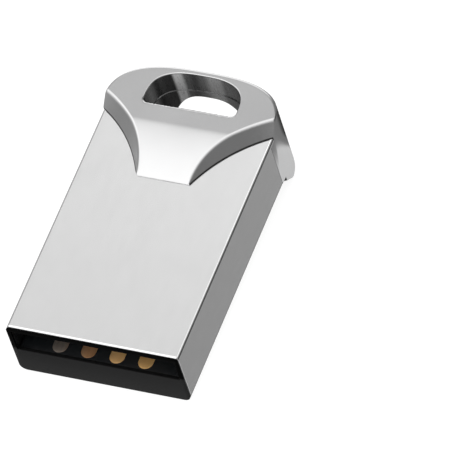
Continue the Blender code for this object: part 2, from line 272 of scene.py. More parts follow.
def hole_points(grow, steps=96):
    """The D of the key hole, grown by a margin, with the way out from its middle."""
    half = HOLE_HALF_WIDTH + grow
    front = HOLE_Y - grow
    depth = HOLE_DEPTH + 2 * grow
    corner = HOLE_CORNER
    base = front + corner
    points = []
    for i in range(9):
        a = math.radians(-90 + 90 * i / 9)
        points.append((half - corner + corner * math.cos(a), base + corner * math.sin(a)))
    for (x, y), _ in superellipse(half, depth - corner, HOLE_POWER, steps):
        points.append((x, base + y))
    for i in range(1, 10):
        a = math.radians(180 + 90 * i / 9)
        points.append((corner - half + corner * math.cos(a), base + corner * math.sin(a)))
    for i in range(1, 24):
        share = i / 24
        points.append((corner - half + 2 * (half - corner) * share, front))
    table = np.array(points)
    around = np.roll(table, -1, axis=0) - np.roll(table, 1, axis=0)
    around /= np.linalg.norm(around, axis=1)[:, None]
    return table, np.stack([around[:, 1], -around[:, 0]], axis=1)


ARCH = arch_points()
ARCH_XY = np.array([p for p, _ in ARCH])
ARCH_OUT = np.array([n for _, n in ARCH])


def distance_to(x, y, line, line_normals, closed):
    """How far each point is from a polyline, and the polyline's own outward normal at the nearest place."""
    a = line
    b = np.roll(line, -1, axis=0)
    na = line_normals
    nb = np.roll(line_normals, -1, axis=0)
    if not closed:
        a, b, na, nb = a[:-1], b[:-1], na[:-1], nb[:-1]
    best = np.full(len(x), FAR)
    normal = np.zeros((len(x), 2))
    normal[:, 1] = 1.0
    for p, q, np_, nq in zip(a, b, na, nb):
        d = q - p
        size = float(d @ d)
        if size < 1e-14:
            continue
        share = np.clip(((x - p[0]) * d[0] + (y - p[1]) * d[1]) / size, 0, 1)
        away = np.hypot(x - p[0] - share * d[0], y - p[1] - share * d[1])
        closer = away < best
        best[closer] = away[closer]
        mix = np_[None, :] * (1 - share[closer])[:, None] + nq[None, :] * share[closer][:, None]
        normal[closer] = mix / np.linalg.norm(mix, axis=1)[:, None]
    return best, normal


def smooth(share):
    """An eased step from 0 to 1."""
    share = min(max(share, 0.0), 1.0)
    return share * share * (3 - 2 * share)


def side_lean_share(y, z):
    """How far the cap's side is shaded as if it leant forwards: fully low down, lower still at the back."""
    top = SIDE_LEAN_TOP - SIDE_LEAN_DROP * max(y - PLATE_Y - SIDE_LEAN_DELAY, 0.0)
    return smooth((top - z) / SIDE_LEAN_DEPTH)


def soft_min(a, ga, b, gb, k):
    """The lesser of two heights, rounded where they meet, with its slope."""
    gap = np.maximum(k - np.abs(a - b), 0)
    value = np.minimum(a, b) - gap * gap / (4 * k)
    share = np.clip(0.5 + (b - a) / (2 * k), 0, 1)
    return value, ga * share[:, None] + gb * (1 - share)[:, None]


def rim_radius(out):
    """The rim is crisp along the cap's sides and softer round its back."""
    return RIM_RADIUS_SIDE + (RIM_RADIUS_BACK - RIM_RADIUS_SIDE) * np.clip(out[..., 1], 0, 1) ** 0.8


def edge_drop(t, radius):
    """How far an edge of that radius falls at the distance t inside it, and the size of its slope."""
    inside = np.clip(radius - t, 0, radius)
    root = np.sqrt(np.maximum(radius**2 - inside**2, 0))
    return radius - root, inside / np.maximum(root, radius * 2e-3)


def ramp_level(y):
    """Height of the tongue's ramp over the shell, and its slope: soft at the plate, then ever steeper."""
    run = PLATE_Y - TIP_Y
    along = np.clip(PLATE_Y - y, 0, None)
    eased = np.sqrt(along**2 + RAMP_BREAK**2)
    curve = (CAP_RISE - TIP_LIP - RAMP_START * (math.hypot(run, RAMP_BREAK) - RAMP_BREAK)) / run**2
    level = CAP_RISE - RAMP_START * (eased - RAMP_BREAK) - curve * along**2
    return level, RAMP_START * along / eased + 2 * curve * along


def tongue_height(x, y):
    """Height of the cap's upper face over the shell, and its slope. The lower face mirrors it."""
    t, out = distance_to(x, y, ARCH_XY, ARCH_OUT, False)
    drop, steep = edge_drop(t, rim_radius(out))
    plate = CAP_RISE - drop
    plate_slope = -out * steep[:, None]
    ramp, steepness = ramp_level(y)
    ramp_slope = np.stack([np.zeros(len(x)), steepness], axis=1)
    dx, dy = np.abs(x) - WALL_AXIS[0], y - WALL_AXIS[1]
    rho = np.hypot(dx, dy)
    wall = WALL_BASE + WALL_SLOPE * (rho - WALL_RADIUS)
    wall_slope = WALL_SLOPE * np.stack([dx / rho * np.sign(x + 1e-12), dy / rho], axis=1)
    lower = plate < ramp
    height = np.where(lower, plate, ramp)
    slope = np.where(lower[:, None], plate_slope, ramp_slope)
    fillet = np.minimum(WALL_FILLET, 0.9 * np.maximum(height - WALL_BASE, 1e-3))
    gap = np.maximum(fillet - np.abs(height - wall), 0)
    value = np.minimum(height, wall) - gap * gap / (4 * fillet)
    share = np.clip(0.5 + (wall - height) / (2 * fillet), 0, 1)
    return value, slope * share[:, None] + wall_slope * (1 - share)[:, None]


def upper_face(x, y, hole):
    """Level and normal of the cap's upper face."""
    height, slope = tongue_height(x, y)
    th, away = distance_to(x, y, *hole, True)
    radius = HOLE_EDGE_RADIUS_BACK
    radius = radius + (HOLE_EDGE_RADIUS_FRONT - radius) * np.clip(-away[:, 1], 0, 1)
    drop, steep = edge_drop(th, radius)
    slope = slope + away * steep[:, None]
    normal = np.concatenate([-slope, np.ones((len(x), 1))], axis=1)
    return SHELL_TOP + height - drop, normal / np.linalg.norm(normal, axis=1)[:, None]


def lower_face(x, y, hole):
    """Level and normal of the cap's lower face, with its slanted back."""
    height, slope = tongue_height(x, y)
    t, out = distance_to(x, y, ARCH_XY, ARCH_OUT, False)
    drop, steep = edge_drop(t, SLANT_EDGE_RADIUS)
    slant = -CAP_RISE + SLANT_SLOPE * (y - SLANT_Y) + drop
    slant_slope = np.stack([np.zeros(len(x)), np.full(len(x), SLANT_SLOPE)], axis=1) + out * steep[:, None]
    depth, depth_slope = soft_min(height, slope, -slant, -slant_slope, SLANT_FILLET)
    th, away = distance_to(x, y, *hole, True)
    drop, steep = edge_drop(th, HOLE_LOWER_RADIUS)
    level = -depth + drop
    level_slope = -depth_slope - away * steep[:, None]
    normal = np.concatenate([level_slope, -np.ones((len(x), 1))], axis=1)
    return level, normal / np.linalg.norm(normal, axis=1)[:, None]


def wall_foot(steps=84):
    """The right-hand hollow's foot in plan, from the cap's side to the tongue's tip."""
    start = math.acos((HALF_WIDTH - WALL_AXIS[0]) / WALL_RADIUS)
    end = math.pi - math.asin((TIP_Y - WALL_AXIS[1]) / WALL_RADIUS)
    angles = [start + (end - start) * i / steps for i in range(steps + 1)]
    cx, cy = WALL_AXIS
    return [(cx + WALL_RADIUS * math.cos(a), cy + WALL_RADIUS * math.sin(a)) for a in angles]


def wall_lines(steps=110):
    """Rows of points up the right-hand wall and over its rounded upper edge."""
    points = []
    for i in range(steps + 1):
        angle = math.radians(WALL_ARC_START + WALL_ARC * i / steps)
        high = WALL_RADIUS + CAP_RISE - WALL_BASE
        for _ in range(12):
            y = WALL_AXIS[1] + high * math.sin(angle)
            high = WALL_RADIUS + max(float(ramp_level(np.array([y]))[0][0]) - WALL_BASE, 0.0) / WALL_SLOPE
        reach = high - WALL_RADIUS
        below = [high - min(d, 0.8 * reach) for d in (0.13, 0.09, 0.055, 0.025, 0.0)]
        rows = [WALL_RADIUS + reach * f for f in (0.25, 0.5, 0.75)] if reach > 0.2 else []
        for rho in [*rows, *below, high + 0.025, high + 0.055, high + 0.09, high + 0.13, high + 0.24]:
            points.append((WALL_AXIS[0] + rho * math.cos(angle), WALL_AXIS[1] + rho * math.sin(angle)))
    return points


def scattered(points, loop, hole, margin):
    """Those of the points that lie inside the region and clear of its edges, with near doubles left out."""
    table = np.array(points)
    x, y = table[:, 0], table[:, 1]
    keep = inside_loop(x, y, np.array(loop)) & ~inside_loop(x, y, np.array(hole))
    closed = np.array(loop)
    blank = np.zeros_like(closed)
    blank[:, 1] = 1.0
    keep &= distance_to(x, y, closed, blank, True)[0] > margin
    hole = np.array(hole)
    blank = np.zeros_like(hole)
    blank[:, 1] = 1.0
    keep &= distance_to(x, y, hole, blank, True)[0] > margin
    kept, cells = [], set()
    for px, py in table[keep]:
        cell = (round(px / 0.008), round(py / 0.008))
        if cell not in cells:
            cells.add(cell)
            kept.append((float(px), float(py)))
    return kept


def face_points(hole_rings, hole_grow):
    """Extra points for one face: rings inside the rim and round the hole, the walls' rows and a field."""
    points = []
    for beta in (75, 62, 50, 38, 27, 17, 8, 0):
        inset = rim_radius(ARCH_OUT) * (1 - math.sin(math.radians(beta)))
        points += [tuple(p - n * d) for p, n, d in zip(ARCH_XY, ARCH_OUT, inset)]
    inset = rim_radius(ARCH_OUT) + 0.12
    points += [tuple(p - n * d) for p, n, d in zip(ARCH_XY, ARCH_OUT, inset)]
    for grow in hole_rings:
        points += [tuple(p) for p in hole_points(hole_grow + grow)[0]]
    for x, y in wall_lines():
        points += [(x, y), (-x, y)]
    for row in range(44):
        y = TIP_Y + 0.02 + 0.1 * row if row < 40 else PLATE_Y + 0.15 * (row - 39)
        points += [(0.3 * (i - 20) + 0.01, y) for i in range(41)]
    for row in range(11):
        points += [(0.4 * (i - 15) + 0.013, 17.9 + 0.36 * row) for i in range(31)]
    return points


def make_cap(materials):
    skin = Skin()
    foot = wall_foot()
    tip_right = foot[-1]
    tip = [(tip_right[0] * (1 - 2 * i / 16), tip_right[1]) for i in range(1, 16)]
    front = [(-x, y) for x, y in foot[1:]]
    front += [(-x, y) for x, y in tip]
    front += foot[::-1][:-1]
    loop = [tuple(p) for p in ARCH_XY] + front
    loop = [tuple(map(float, p)) for p in loop]

    upper_hole = hole_points(0.0)
    lower_hole = hole_points(-HOLE_STEP)
    rings = [0.004, 0.012, 0.022, 0.036, 0.053, 0.072, 0.1, 0.13, 0.16, 0.19, HOLE_EDGE_RADIUS_FRONT]
    bends = (11, 22, 34, 45, 56, 67, 78, 90)
    lower_rings = [HOLE_LOWER_RADIUS * (1 - math.cos(math.radians(a))) for a in bends]
    sides = (
        (upper_face, upper_hole, [*rings, 0.3], 0.0),
        (lower_face, lower_hole, [*lower_rings, 0.42], -HOLE_STEP),
    )
    edges = []
    for face, hole, hole_rings, grow in sides:
        hole_loop = [tuple(map(float, p)) for p in hole[0]]
        extra = face_points(hole_rings, grow)
        if face is lower_face:
            for offset in (-0.06, -0.03, -0.01, 0.01, 0.03, 0.06, 0.12):
                extra += [(0.2 * (i - 30) + 0.007, SLANT_Y + offset) for i in range(61)]
            crease = []
            for beta in (75, 60, 45, 30, 15, 0):
                inset = SLANT_EDGE_RADIUS * (1 - math.sin(math.radians(beta)))
                crease += [tuple(p - n * inset) for p, n in zip(ARCH_XY, ARCH_OUT)]
            extra = crease + extra
        extra = scattered(extra, loop, hole_loop, 0.0035)
        table, faces = triangulate(loop, hole_loop, extra)
        level, normal = face(table[:, 0], table[:, 1], hole)
        points = np.column_stack([table, level])
        for a, b, c in faces:
            skin.add([points[a], points[b], points[c]], [normal[a], normal[b], normal[c]])
        edges.append((points[: len(loop)], points[len(loop) : len(loop) + len(hole_loop)]))

    # Outer wall, from the upper edge to the lower one
    count = len(ARCH_XY)
    (upper_edge, upper_rim), (lower_edge, lower_rim) = edges
    out = np.column_stack([ARCH_OUT, np.zeros(count)])
    top_end, low_end = upper_edge[0][2], lower_edge[0][2]
    levels = [
        top_end,
        SHELL_TOP + TONGUE_GAP,
        BLOCK_HIGH,
        *(3.8, 3.4, 3.0, 2.6, 2.2, 1.8, 1.4, 1.0, 0.6),
        BLOCK_LOW,
        -TONGUE_GAP,
        low_end,
    ]
    shares = [(top_end - z) / (top_end - low_end) for z in levels]
    rows = []
    for share in shares:
        row = upper_edge[:count].copy()
        row[:, 2] = upper_edge[:count, 2] * (1 - share) + lower_edge[:count, 2] * share
        rows.append(row)
    leans = []
    for z in levels:
        lean = out.copy()
        for i, (x, y) in enumerate(ARCH_XY):
            angle = math.atan2(ARCH_OUT[i][1], abs(ARCH_OUT[i][0]))
            share = side_lean_share(y, z) * smooth((SIDE_LEAN_END - y) / SIDE_LEAN_FADE)
            turned = angle * (1 - share) + SIDE_LEAN * share
            lean[i, :2] = (math.copysign(math.cos(turned), x), math.sin(turned))
        leans.append(lean)
    for i in range(len(rows) - 1):
        skin.strip(rows[i], rows[i + 1], leans[i], leans[i + 1])

    # Wall of the key hole, with a shallow step part way down
    inward = -np.column_stack([upper_hole[1], np.zeros(len(upper_hole[1]))])
    tilted = inward + np.array([0.0, 0.0, STEP_TILT])
    narrow = np.column_stack([lower_hole[0], np.zeros(len(lower_hole[0]))])
    wide = np.column_stack([upper_hole[0], np.zeros(len(upper_hole[0]))])
    step_above, step_below = wide.copy(), narrow.copy()
    step_above[:, 2] = HOLE_STEP_LEVEL + HOLE_STEP
    step_below[:, 2] = HOLE_STEP_LEVEL
    ease_above, ease_below = wide.copy(), narrow.copy()
    ease_above[:, 2] = HOLE_STEP_LEVEL + HOLE_STEP + STEP_EASE
    ease_below[:, 2] = HOLE_STEP_LEVEL - STEP_EASE
    # The hole's wall takes the painted reflection bands, all but its straight front and the step
    bore = [0 if normal[1] > 0.99 else 2 for normal in inward]
    skin.strip(upper_rim, ease_above, inward, inward, True, bore)
    skin.strip(ease_above, step_above, inward, tilted, True, bore)
    skin.strip(step_above, step_below, tilted, tilted, True, 0)
    skin.strip(step_below, ease_below, tilted, inward, True, bore)
    skin.strip(ease_below, lower_rim, inward, inward, True, bore)

    # Foot of each tongue, and the hidden faces round the shell's walls
    start = float(ARCH_XY[0][1])
    wide_x = HALF_WIDTH
    for edge, plane, inner, up in (
        (upper_edge, SHELL_TOP + TONGUE_GAP, BLOCK_HIGH, 1.0),
        (lower_edge, -TONGUE_GAP, BLOCK_LOW, -1.0),
    ):
        ring = np.concatenate([edge[count - 1 :], edge[:1]])
        around = np.gradient(ring[:, :2], axis=0)
        around /= np.linalg.norm(around, axis=1)[:, None]
        side = np.column_stack([around[:, 1], -around[:, 0], np.zeros(len(ring))])
        low = ring.copy()
        low[:, 2] = plane
        for i in range(len(ring)):
            on_tip = abs(ring[i][0]) <= tip_right[0] + 1e-3
            ends = min(i, len(ring) - 1 - i) / FLARE_SEGMENTS
            spread = FOOT_FLARE * min(ends, 1.0) * min((ring[i][1] - TIP_Y) / 0.5, 1.0)
            spread = 0.0 if on_tip else spread
            low[i, :2] += side[i, :2] * spread * (1.0 if side[i][1] < 0 else -1.0)
        for i in range(len(ring) - 1):
            at_tip = max(abs(ring[i][0]), abs(ring[i + 1][0])) < tip_right[0] + 1e-3
            lean = np.array([0.0, -1.0, TIP_TILT * up]) if at_tip else side[i]
            after = lean if at_tip else side[i + 1]
            # Painted shadow: the foot's faces take the dark seam material, except at the tip and the segments
            # counted above
            light = at_tip or (up < 0 and min(i, len(ring) - 2 - i) < LIGHT_SEGMENTS)
            corners = [ring[i], ring[i + 1], low[i + 1], low[i]]
            skin.add(corners, [lean, after, after, lean], 0 if light else 1)
        hidden = 1 if up > 0 else 0
        skin.flat([tuple(p) for p in low], (0.0, 0.0, -up), slot=1)
        skin.flat(
            [
                (wide_x, start, plane),
                (-wide_x, start, plane),
                (-wide_x, start, inner),
                (wide_x, start, inner),
            ],
            (0.0, -1.0, 0.0),
            slot=hidden,
        )
        skin.flat(
            [
                (wide_x, start, inner),
                (-wide_x, start, inner),
                (-wide_x, BLOCK_FRONT, inner),
                (wide_x, BLOCK_FRONT, inner),
            ],
            (0.0, 0.0, up),
            slot=hidden,
        )
    skin.flat(
        [
            (wide_x, BLOCK_FRONT, BLOCK_HIGH),
            (-wide_x, BLOCK_FRONT, BLOCK_HIGH),
            (-wide_x, BLOCK_FRONT, BLOCK_LOW),
            (wide_x, BLOCK_FRONT, BLOCK_LOW),
        ],
        (0.0, -1.0, 0.0),
        slot=1,
    )
    between = [z for z in levels if BLOCK_LOW - 1e-6 <= z <= BLOCK_HIGH + 1e-6]
    for hand in (1.0, -1.0):
        x = hand * wide_x
        corners = [(x, start, z) for z in between]
        corners += [(x, BLOCK_FRONT, BLOCK_LOW), (x, BLOCK_FRONT, BLOCK_HIGH)]
        leaning = []
        for _, _, z in corners:
            turned = SIDE_LEAN * side_lean_share(start, z)
            leaning.append((hand * math.cos(turned), math.sin(turned), 0.0))
        skin.add(corners, leaning)
    cap = skin.build("tail_cap_cast", materials)
    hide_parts("tail_cap")
    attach(cap, "root")
    return cap


# -------------------------------------------------------------------------------------------------- the shell
def section(inset, top_radius=0.2, low_radius=0.5, steps=9):
    """The shell's section in X and Z, inset by a wall, and the way outwards, from the lower right."""
    half, low, high = HALF_WIDTH - inset, inset, SHELL_TOP - inset
    below = max(low_radius - inset, 0.08)
    above = max(top_radius - inset, 0.05)
    rows = []
    for cx, cz, radius, start in (
        (half - below, low + below, below, -90),
        (half - above, high - above, above, 0),
        (above - half, high - above, above, 90),
        (below - half, low + below, below, 180),
    ):
        if start == 90:
            rows.append(((0.0, high), (0.0, 1.0)))
        for i in range(steps + 1):
            a = math.radians(start + 90 * i / steps)
            normal = (math.cos(a), math.sin(a))
            rows.append(((cx + radius * normal[0], cz + radius * normal[1]), normal))
        # Extra points up each side, below the upper rounding, so that the walls' ends follow the cap
        for hand, after in ((1, -90), (-1, 90)):
            if start == after:
                levels = (SHELL_TOP / 2, SHELL_TOP - SHELL_WALL - 0.02, SHELL_TOP - SHELL_WALL)
                for z in levels if hand > 0 else levels[::-1]:
                    held = min(z, high - above - 1e-3 * (levels[-1] - z + 1))
                    rows.append(((hand * half, held), (float(hand), 0.0)))
    return rows


def make_shell(materials):
    skin = Skin()
    outer, inner = section(0.0), section(SHELL_WALL)
    front = SHELL_FRONT
    start = float(ARCH_XY[0][1]) - 0.02

    def back(z):
        return SHELL_SIDE_END if SHELL_WALL - 0.01 < z < SHELL_TOP - SHELL_WALL - 0.01 else start

    def ring(rows, inset, y, lean):
        """A ring at the depth y. A lean of 1 faces the mouth, and of 0 faces straight out."""
        points, normals = [], []
        for (x, z), (nx, nz) in rows:
            points.append((x - nx * inset(nz), y(nz), z - nz * inset(nz)))
            sideways = math.sqrt(max(1 - lean * lean, 0.0))
            normals.append((nx * sideways, -lean, nz * sideways))
        return points, normals

    def edge_radius(nz):
        above, below = max(nz, 0.0) ** 2, max(-nz, 0.0) ** 2
        return FRONT_RADIUS + FRONT_RADIUS_TOP * above - FRONT_RADIUS_LOW * below

    rings = []
    for i in range(8):
        s = math.radians(90 * i / 7)
        rings.append(ring(
            outer,
            lambda nz, s=s: edge_radius(nz) * (1 - math.sin(s)),
            lambda nz, s=s: front + edge_radius(nz) * (1 - math.cos(s)),
            math.cos(s),
        ))
    end_points = [(x, back(z), z) for (x, z), _ in outer]
    end_normals = [(nx, 0.0, nz) for _, (nx, nz) in outer]
    rings.append((end_points, end_normals))
    for (a, na), (b, nb) in zip(rings, rings[1:]):
        skin.strip(a, b, na, nb, True)
    # The rolled-in front edge and the inside of the tube
    lip = [(x, front, z) for (x, z), _ in inner]
    ahead = [(0.0, -1.0, 0.0)] * len(outer)
    skin.strip(rings[0][0], lip, ahead, ahead, True)
    inside = [(-nx, 0.0, -nz) for _, (nx, nz) in inner]
    inner_end = [(x, back(oz), z) for ((x, z), _), ((_, oz), _) in zip(inner, outer)]
    # The inside of the tube takes the darker steel, which is painted shade
    skin.strip(lip, inner_end, inside, inside, True, slot=1)
    behind = [(0.0, 1.0, 0.0)] * len(outer)
    skin.strip(end_points, inner_end, behind, behind, True)
    shell = skin.build("outer_shell_drawn", materials)
    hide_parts("outer_shell")
    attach(shell, "root")
    return shell


# ------------------------------------------------------------------------------- softened copies of CAD nodes
def softened(node, name, width, material, segments=2):
    """A copy of a CAD node with its flat faces made whole and its edges eased by a small bevel."""
    mesh = frame["nodes"][node].data.copy()
    mesh.name = name
    bm = bmesh.new()
    bm.from_mesh(mesh)
    for vert in bm.verts:
        vert.co /= MM
    bmesh.ops.remove_doubles(bm, verts=bm.verts, dist=1e-4)
    bmesh.ops.dissolve_limit(bm, angle_limit=math.radians(1.0), verts=bm.verts, edges=bm.edges)
    sharp = [e for e in bm.edges if len(e.link_faces) == 2 and e.calc_face_angle(0.0) > math.radians(28)]
    bmesh.ops.bevel(
        bm,
        geom=sharp,
        offset=width,
        offset_type="OFFSET",
        segments=segments,
        profile=0.5,
        affect="EDGES",
        clamp_overlap=True,
    )
    for vert in bm.verts:
        vert.co *= MM
    bm.to_mesh(mesh)
    bm.free()
    if mesh.has_custom_normals:
        mesh.attributes.remove(mesh.attributes["custom_normal"])
    mesh.shade_smooth()
    mesh.set_sharp_from_angle(angle=math.radians(50))
    mesh.materials.clear()
    mesh.materials.append(material)
    thing = bpy.data.objects.new(name, mesh)
    bpy.context.scene.collection.objects.link(thing)
    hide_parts(node)
    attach(thing, "root")
    return thing


# -------------------------------------------------------------------------------------------------- materials
class Nodes:
    """A short way to write a material's node tree."""

    def __init__(self, name, roughness, metallic):
        self.material = bpy.data.materials.new(name)
        self.material.use_nodes = True
        self.tree = self.material.node_tree
        self.shader = self.tree.nodes["Principled BSDF"]
        self.shader.inputs["Roughness"].default_value = roughness
        self.shader.inputs["Metallic"].default_value = metallic
        self.place = self.tree.nodes.new("ShaderNodeTexCoord").outputs["Object"]

    def node(self, kind, **settings):
        made = self.tree.nodes.new(kind)
        for key, value in settings.items():
            setattr(made, key, value)
        return made

    def link(self, output, socket):
        self.tree.links.new(output, socket)

    def set(self, socket, value):
        self.shader.inputs[socket].default_value = value

    def stretched(self, scale):
        mapping = self.node("ShaderNodeMapping")
        mapping.inputs["Scale"].default_value = scale
        self.link(self.place, mapping.inputs["Vector"])
        return mapping.outputs["Vector"]

    def noise(self, scale, detail=3.0, rough=0.55):
        """Noise with its scale per millimetre along each axis."""
        made = self.node("ShaderNodeTexNoise")
        self.link(self.stretched([s / MM for s in scale]), made.inputs["Vector"])
        made.inputs["Scale"].default_value = 1.0
        made.inputs["Detail"].default_value = detail
        made.inputs["Roughness"].default_value = rough
        return made.outputs["Fac"]

    def remap(self, value, low, high, to_low, to_high):
        made = self.node("ShaderNodeMapRange", clamp=True)
        self.link(value, made.inputs["Value"])
        for key, number in (("From Min", low), ("From Max", high), ("To Min", to_low), ("To Max", to_high)):
            made.inputs[key].default_value = number
        return made.outputs["Result"]

    def math(self, operation, first, second):
        made = self.node("ShaderNodeMath", operation=operation)
        for socket, value in zip(made.inputs, (first, second)):
            if isinstance(value, (int, float)):
                socket.default_value = value
            else:
                self.link(value, socket)
        return made.outputs["Value"]

    def mix(self, share, first, second):
        made = self.node("ShaderNodeMix", data_type="RGBA")
        for key, value in (("Factor", share), ("A", first), ("B", second)):
            socket = next(s for s in made.inputs if s.name == key and s.enabled)
            if isinstance(value, (int, float)):
                socket.default_value = value
            elif isinstance(value, tuple):
                socket.default_value = (*value, 1.0)
            else:
                self.link(value, socket)
        return next(s for s in made.outputs if s.enabled)

    def bump(self, height, distance, strength=1.0):
        made = self.node("ShaderNodeBump")
        made.inputs["Strength"].default_value = strength
        made.inputs["Distance"].default_value = distance * MM
        self.link(height, made.inputs["Height"])
        self.link(made.outputs["Normal"], self.shader.inputs["Normal"])

    def along(self, axis):
        split = self.node("ShaderNodeSeparateXYZ")
        self.link(self.place, split.inputs["Vector"])
        return split.outputs[axis]


def metal(name, dark, light, roughness, grain, bump_mm):
    """Plated or polished metal: slow tone changes and a fine grain along its length."""
    nodes = Nodes(name, roughness, 1.0)
    slow = nodes.noise((0.09, 0.05, 0.09), 2.0)
    fine = nodes.noise(grain, 4.0, 0.7)
    blend = nodes.math("ADD", nodes.math("MULTIPLY", slow, 0.7), nodes.math("MULTIPLY", fine, 0.3))
    colour = nodes.mix(nodes.remap(blend, 0.35, 0.65, 0.0, 1.0), dark, light)
    nodes.link(colour, nodes.shader.inputs["Base Color"])
    rough = nodes.remap(fine, 0.3, 0.7, roughness * 0.8, roughness * 1.2)
    nodes.link(rough, nodes.shader.inputs["Roughness"])
    nodes.bump(fine, bump_mm)
    return nodes


def shell_steel():
    nodes = Nodes("shell_steel_satin_painted_sheen", 0.22, 1.0)
    grain = nodes.noise((2.5, 0.7, 2.5), 4.0, 0.65)
    slow = nodes.noise((0.10, 0.06, 0.10), 2.0)
    # Painted sheen: the base colour grows lighter towards the back, and at the back towards the right,
    # standing in for light the satin steel reflects; the slow clouds and the grain are the steel's own tone
    back = nodes.remap(nodes.along("Y"), -0.0108, 0.0075, 0.0, 0.75)
    right = nodes.math("MULTIPLY", nodes.remap(nodes.along("X"), -0.006, 0.006, 0.0, 0.4), back)
    cloud = nodes.math("MULTIPLY", nodes.math("SUBTRACT", slow, 0.5), 0.3)
    tone = nodes.math("ADD", nodes.math("ADD", back, right), cloud)
    tone = nodes.math("ADD", tone, nodes.math("MULTIPLY", nodes.math("SUBTRACT", grain, 0.5), 0.12))
    share = nodes.remap(tone, 0.0, 1.0, 0.0, 1.0)
    colour = nodes.mix(share, (0.757, 0.757, 0.757), (0.935, 0.935, 0.935))
    nodes.link(colour, nodes.shader.inputs["Base Color"])
    nodes.link(nodes.remap(grain, 0.3, 0.7, 0.19, 0.25), nodes.shader.inputs["Roughness"])
    nodes.bump(grain, 0.0006)
    return nodes.material


def shell_inside_painted_shade():
    # Painted shade: the same steel as outside, made darker because little light gets into the tube
    nodes = metal("shell_steel_inside_painted_shade", (0.30, 0.30, 0.30), (0.42, 0.42, 0.42), 0.35, (3.0, 0.5, 3.0), 0.002)
    return nodes.material


def cap_zinc():
    nodes = Nodes("cap_zinc_plated", 0.16, 1.0)
    slow = nodes.noise((0.22, 0.22, 0.22), 2.0)
    fine = nodes.noise((6.0, 6.0, 6.0), 3.0, 0.6)
    blend = nodes.math("ADD", nodes.math("MULTIPLY", slow, 0.75), nodes.math("MULTIPLY", fine, 0.25))
    colour = nodes.mix(nodes.remap(blend, 0.35, 0.65, 0.0, 1.0), (0.585, 0.585, 0.587), (0.625, 0.625, 0.627))
    nodes.link(colour, nodes.shader.inputs["Base Color"])
    nodes.link(nodes.remap(fine, 0.3, 0.7, 0.14, 0.19), nodes.shader.inputs["Roughness"])
    nodes.bump(slow, 0.003)
    return nodes.material


def cap_bore():
    """The key hole's wall, whose colour is a painted reflection: darker and lighter bands across it stand for
    the hollow it faces.
    """
    nodes = Nodes("cap_bore_painted_reflection", 0.28, 0.25)
    slow = nodes.noise((0.5, 0.5, 0.15), 2.0)
    stray = nodes.math("MULTIPLY", nodes.math("SUBTRACT", slow, 0.5), 0.3 * MM)
    across = nodes.math("ADD", nodes.along("X"), stray)
    share = nodes.remap(across, -3.4 * MM, 3.4 * MM, 0.0, 1.0)
    ramp = nodes.node("ShaderNodeValToRGB")
    ramp.color_ramp.interpolation = "EASE"
    elements = ramp.color_ramp.elements
    elements[0].position, elements[1].position = BORE_PAINTED_REFLECTION_BANDS[0][0], BORE_PAINTED_REFLECTION_BANDS[-1][0]
    for place, _ in BORE_PAINTED_REFLECTION_BANDS[1:-1]:
        elements.new(place)
    for element, (_, tone) in zip(elements, BORE_PAINTED_REFLECTION_BANDS):
        element.color = (tone, tone, tone, 1.0)
    nodes.link(share, ramp.inputs["Fac"])
    fine = nodes.noise((6.0, 6.0, 2.0), 3.0, 0.6)
    faint = nodes.mix(nodes.remap(fine, 0.3, 0.7, 0.0, 0.05), ramp.outputs["Color"], (0.10, 0.10, 0.10))
    nodes.link(faint, nodes.shader.inputs["Base Color"])
    nodes.link(nodes.remap(fine, 0.3, 0.7, 0.25, 0.32), nodes.shader.inputs["Roughness"])
    nodes.bump(fine, 0.0006)
    return nodes.material


# Painted reflection bands: the place across the hole, from left to right, and the grey painted there
BORE_PAINTED_REFLECTION_BANDS = [
    (0.0, 0.02),
    (0.175, 0.03),
    (0.21, 0.78),
    (0.26, 0.74),
    (0.31, 0.14),
    (0.40, 0.07),
    (0.48, 0.16),
    (0.58, 0.42),
    (0.66, 0.38),
    (0.73, 0.12),
    (0.82, 0.04),
    (1.0, 0.03),
]


def plastic(name, dark, light, roughness, scale, bump_mm):
    nodes = Nodes(name, roughness, 0.0)
    fine = nodes.noise((scale, scale, scale), 4.0, 0.6)
    slow = nodes.noise((0.4, 0.4, 0.4), 2.0)
    blend = nodes.math("ADD", nodes.math("MULTIPLY", fine, 0.5), nodes.math("MULTIPLY", slow, 0.5))
    colour = nodes.mix(nodes.remap(blend, 0.35, 0.65, 0.0, 1.0), dark, light)
    nodes.link(colour, nodes.shader.inputs["Base Color"])
    rough = nodes.remap(fine, 0.3, 0.7, roughness * 0.85, roughness * 1.15)
    nodes.link(rough, nodes.shader.inputs["Roughness"])
    nodes.bump(fine, bump_mm)
    return nodes.material


def carrier_plastic():
    """Black moulding, with painted shade that makes it darker on the thin lip that surrounds the mouth, and
    duller there.
    """
    nodes = Nodes("carrier_black_painted_shade", 0.42, 0.0)
    fine = nodes.noise((9.0, 9.0, 9.0), 4.0, 0.6)
    # Painted shade: above this height, on the lip, the colour goes nearly black and the shine drops
    lip = nodes.remap(nodes.along("Z"), ORIGIN.z + 2.3 * MM, ORIGIN.z + 2.5 * MM, 0.0, 1.0)
    share = nodes.remap(fine, 0.35, 0.65, 0.0, 1.0)
    lower = nodes.mix(share, (0.0035, 0.0035, 0.0036), (0.0065, 0.0065, 0.0067))
    colour = nodes.mix(lip, lower, (0.0008, 0.0008, 0.0008))
    nodes.link(nodes.remap(lip, 0.0, 1.0, 0.2, 0.02), nodes.shader.inputs["Specular IOR Level"])
    nodes.link(colour, nodes.shader.inputs["Base Color"])
    nodes.link(nodes.remap(fine, 0.3, 0.7, 0.4, 0.5), nodes.shader.inputs["Roughness"])
    nodes.bump(fine, 0.004)
    return nodes.material


